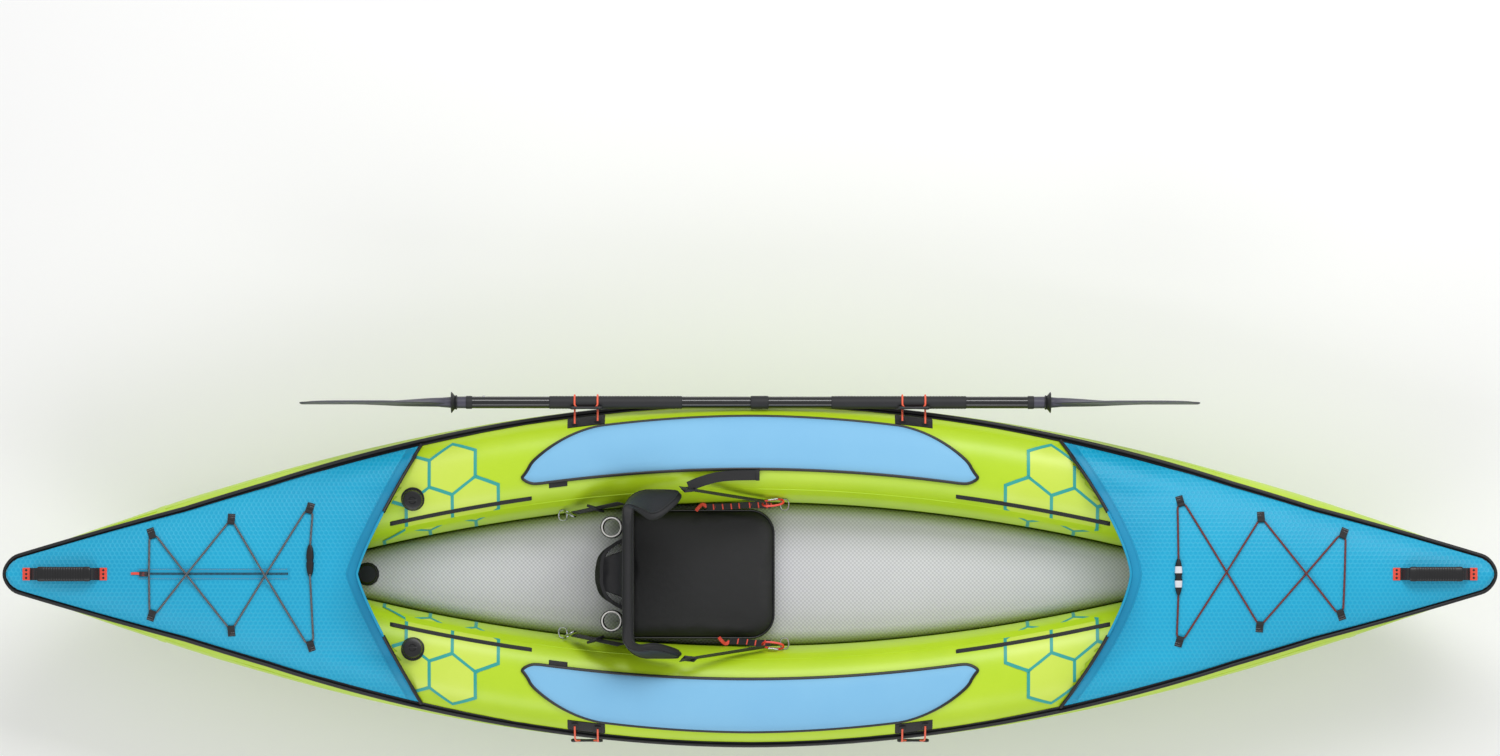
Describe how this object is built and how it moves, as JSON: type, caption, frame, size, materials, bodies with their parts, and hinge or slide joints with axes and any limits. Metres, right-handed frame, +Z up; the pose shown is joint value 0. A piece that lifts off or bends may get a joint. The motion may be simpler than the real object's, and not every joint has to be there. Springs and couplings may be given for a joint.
{
  "type": "inflatable kayak",
  "caption": "One-seat inflatable kayak with lime side tubes, blue spray decks, a padded seat, carry handles, deck cords, a rear fin and a paddle held along the port side.",
  "frame": {"origin": "the lowest point of the hull's bottom, midway along the hull and on its centre plane", "axes": "+X towards the bow, +Y to port, +Z up"},
  "size_m": [3.6552, 0.864, 0.628],
  "materials": {
    "coated_fabric_lime": "satin",
    "coated_fabric_blue": "satin",
    "cover_fabric_blue": "matte",
    "air_chamber": "matte",
    "drop_floor": "matte",
    "tube_cover_fabric": "matte",
    "zip_tape": "matte",
    "zip_metal": "satin",
    "black_fabric": "matte",
    "webbing": "matte",
    "elastic_cord": "matte",
    "soft_grip": "matte",
    "black_rubber": "matte",
    "black_plastic": "matte",
    "fin_plastic": "satin",
    "shaft_metal": "gloss",
    "blade_plastic": "satin",
    "button_metal": "satin"
  },
  "bodies": {
    "hull": {"port_side_skin": "coated_fabric_lime", "starboard_side_skin": "coated_fabric_lime", "bottom_skin": "coated_fabric_lime", "bow_deck": "coated_fabric_blue", "stern_deck": "coated_fabric_blue", "bow_visor": "coated_fabric_blue", "stern_visor": "coated_fabric_blue", "port_pad": "cover_fabric_blue", "starboard_pad": "cover_fabric_blue", "port_bladder": "air_chamber", "starboard_bladder": "air_chamber", "floor_chamber": "drop_floor", "port_tube_cover": "tube_cover_fabric", "starboard_tube_cover": "tube_cover_fabric", "port_bow_zip": "zip_tape", "port_stern_zip": "zip_tape", "starboard_bow_zip": "zip_tape", "starboard_stern_zip": "zip_tape", "stern_deck_zip": "zip_tape", "seat_cushion": "black_fabric", "port_front_strap": "webbing", "starboard_front_strap": "webbing", "port_rear_strap": "webbing", "starboard_rear_strap": "webbing", "bow_handle_strap": "webbing", "stern_handle_strap": "webbing", "port_bow_holder_patch": "webbing", "port_stern_holder_patch": "webbing", "starboard_bow_holder_patch": "webbing", "starboard_stern_holder_patch": "webbing", "bow_bungee": "elastic_cord", "stern_bungee": "elastic_cord", "port_bow_holder_loop": "elastic_cord", "port_stern_holder_loop": "elastic_cord", "starboard_bow_holder_loop": "elastic_cord", "starboard_stern_holder_loop": "elastic_cord", "gunwale_piping": "black_rubber", "port_valve_body": "black_plastic", "starboard_valve_body": "black_plastic", "floor_valve_body": "black_plastic", "fin_box": "black_plastic"},
    "seat_back": {"seat_back": "black_fabric", "port_rod_holder": "black_plastic", "starboard_rod_holder": "black_plastic", "seat_pocket": "black_fabric"},
    "paddle_bow_half": {"paddle_shaft_bow": "shaft_metal", "bow_blade": "blade_plastic"},
    "paddle_stern_half": {"paddle_shaft_stern": "shaft_metal", "stern_blade": "blade_plastic"},
    "paddle_button": {"blade_button": "button_metal"},
    "port_cap": {"port_valve_cap": "black_plastic"},
    "starboard_cap": {"starboard_valve_cap": "black_plastic"},
    "floor_cap": {"floor_valve_cap": "black_plastic"},
    "port_plunger": {"port_valve_plunger": "black_plastic"},
    "starboard_plunger": {"starboard_valve_plunger": "black_plastic"},
    "deck_zip_slider": {"zip_slider": "zip_metal"},
    "bow_handle": {"bow_handle_grip": "soft_grip"},
    "stern_handle": {"stern_handle_grip": "soft_grip"},
    "skeg": {"fin": "fin_plastic"}
  },
  "joints": [
    {"name": "seat_recline", "type": "hinge", "parent": "hull", "child": "seat_back", "pos_m": [-0.296, 0, 0.1492], "axis": [0, 1, 0], "range_deg": [-15, 8], "deforming": ["port_front_strap", "starboard_front_strap", "port_rear_strap", "starboard_rear_strap"]},
    {"name": "paddle_lift", "type": "slide", "parent": "hull", "child": "paddle_bow_half", "axis": [0, 0, 1], "range_m": [0, 0.25], "deforming": ["port_bow_holder_loop", "port_stern_holder_loop"]},
    {"name": "paddle_feather", "type": "hinge", "parent": "paddle_bow_half", "child": "paddle_stern_half", "pos_m": [0, 0.419, 0.239], "axis": [0.9999, 0, -0.0115], "range_deg": [-60, 60]},
    {"name": "button_press", "type": "slide", "parent": "paddle_stern_half", "child": "paddle_button", "axis": [0, -1, 0], "range_m": [0, 0.003], "stiffness_N_per_m": 600},
    {"name": "port_cap_lift", "type": "slide", "parent": "hull", "child": "port_cap", "axis": [-0.0147, -0.1437, 0.9895], "range_m": [0, 0.03]},
    {"name": "starboard_cap_lift", "type": "slide", "parent": "hull", "child": "starboard_cap", "axis": [-0.0147, 0.1437, 0.9895], "range_m": [0, 0.03]},
    {"name": "floor_cap_lift", "type": "slide", "parent": "hull", "child": "floor_cap", "axis": [0, 0, 1], "range_m": [0, 0.03]},
    {"name": "port_plunger_press", "type": "slide", "parent": "hull", "child": "port_plunger", "axis": [0.0147, 0.1437, -0.9895], "range_m": [0, 0.006], "stiffness_N_per_m": 800},
    {"name": "starboard_plunger_press", "type": "slide", "parent": "hull", "child": "starboard_plunger", "axis": [0.0147, -0.1437, -0.9895], "range_m": [0, 0.006], "stiffness_N_per_m": 800},
    {"name": "deck_zip_slide", "type": "slide", "parent": "hull", "child": "deck_zip_slider", "axis": [0.9993, 0, 0.0379], "range_m": [0, 0.33], "deforming": ["stern_bungee"]},
    {"name": "bow_handle_swing", "type": "hinge", "parent": "hull", "child": "bow_handle", "pos_m": [1.673, 0, 0.2375], "axis": [0.9993, 0, -0.0379], "range_deg": [-40, 40], "stiffness_Nm_per_rad": 0.6, "deforming": ["bow_handle_strap"]},
    {"name": "stern_handle_swing", "type": "hinge", "parent": "hull", "child": "stern_handle", "pos_m": [-1.673, 0, 0.2375], "axis": [0.9993, 0, 0.0379], "range_deg": [-40, 40], "stiffness_Nm_per_rad": 0.6, "deforming": ["stern_handle_strap"]},
    {"name": "fin_slide", "type": "slide", "parent": "hull", "child": "skeg", "axis": [-1, 0, 0], "range_m": [0, 0.125]}
  ]
}
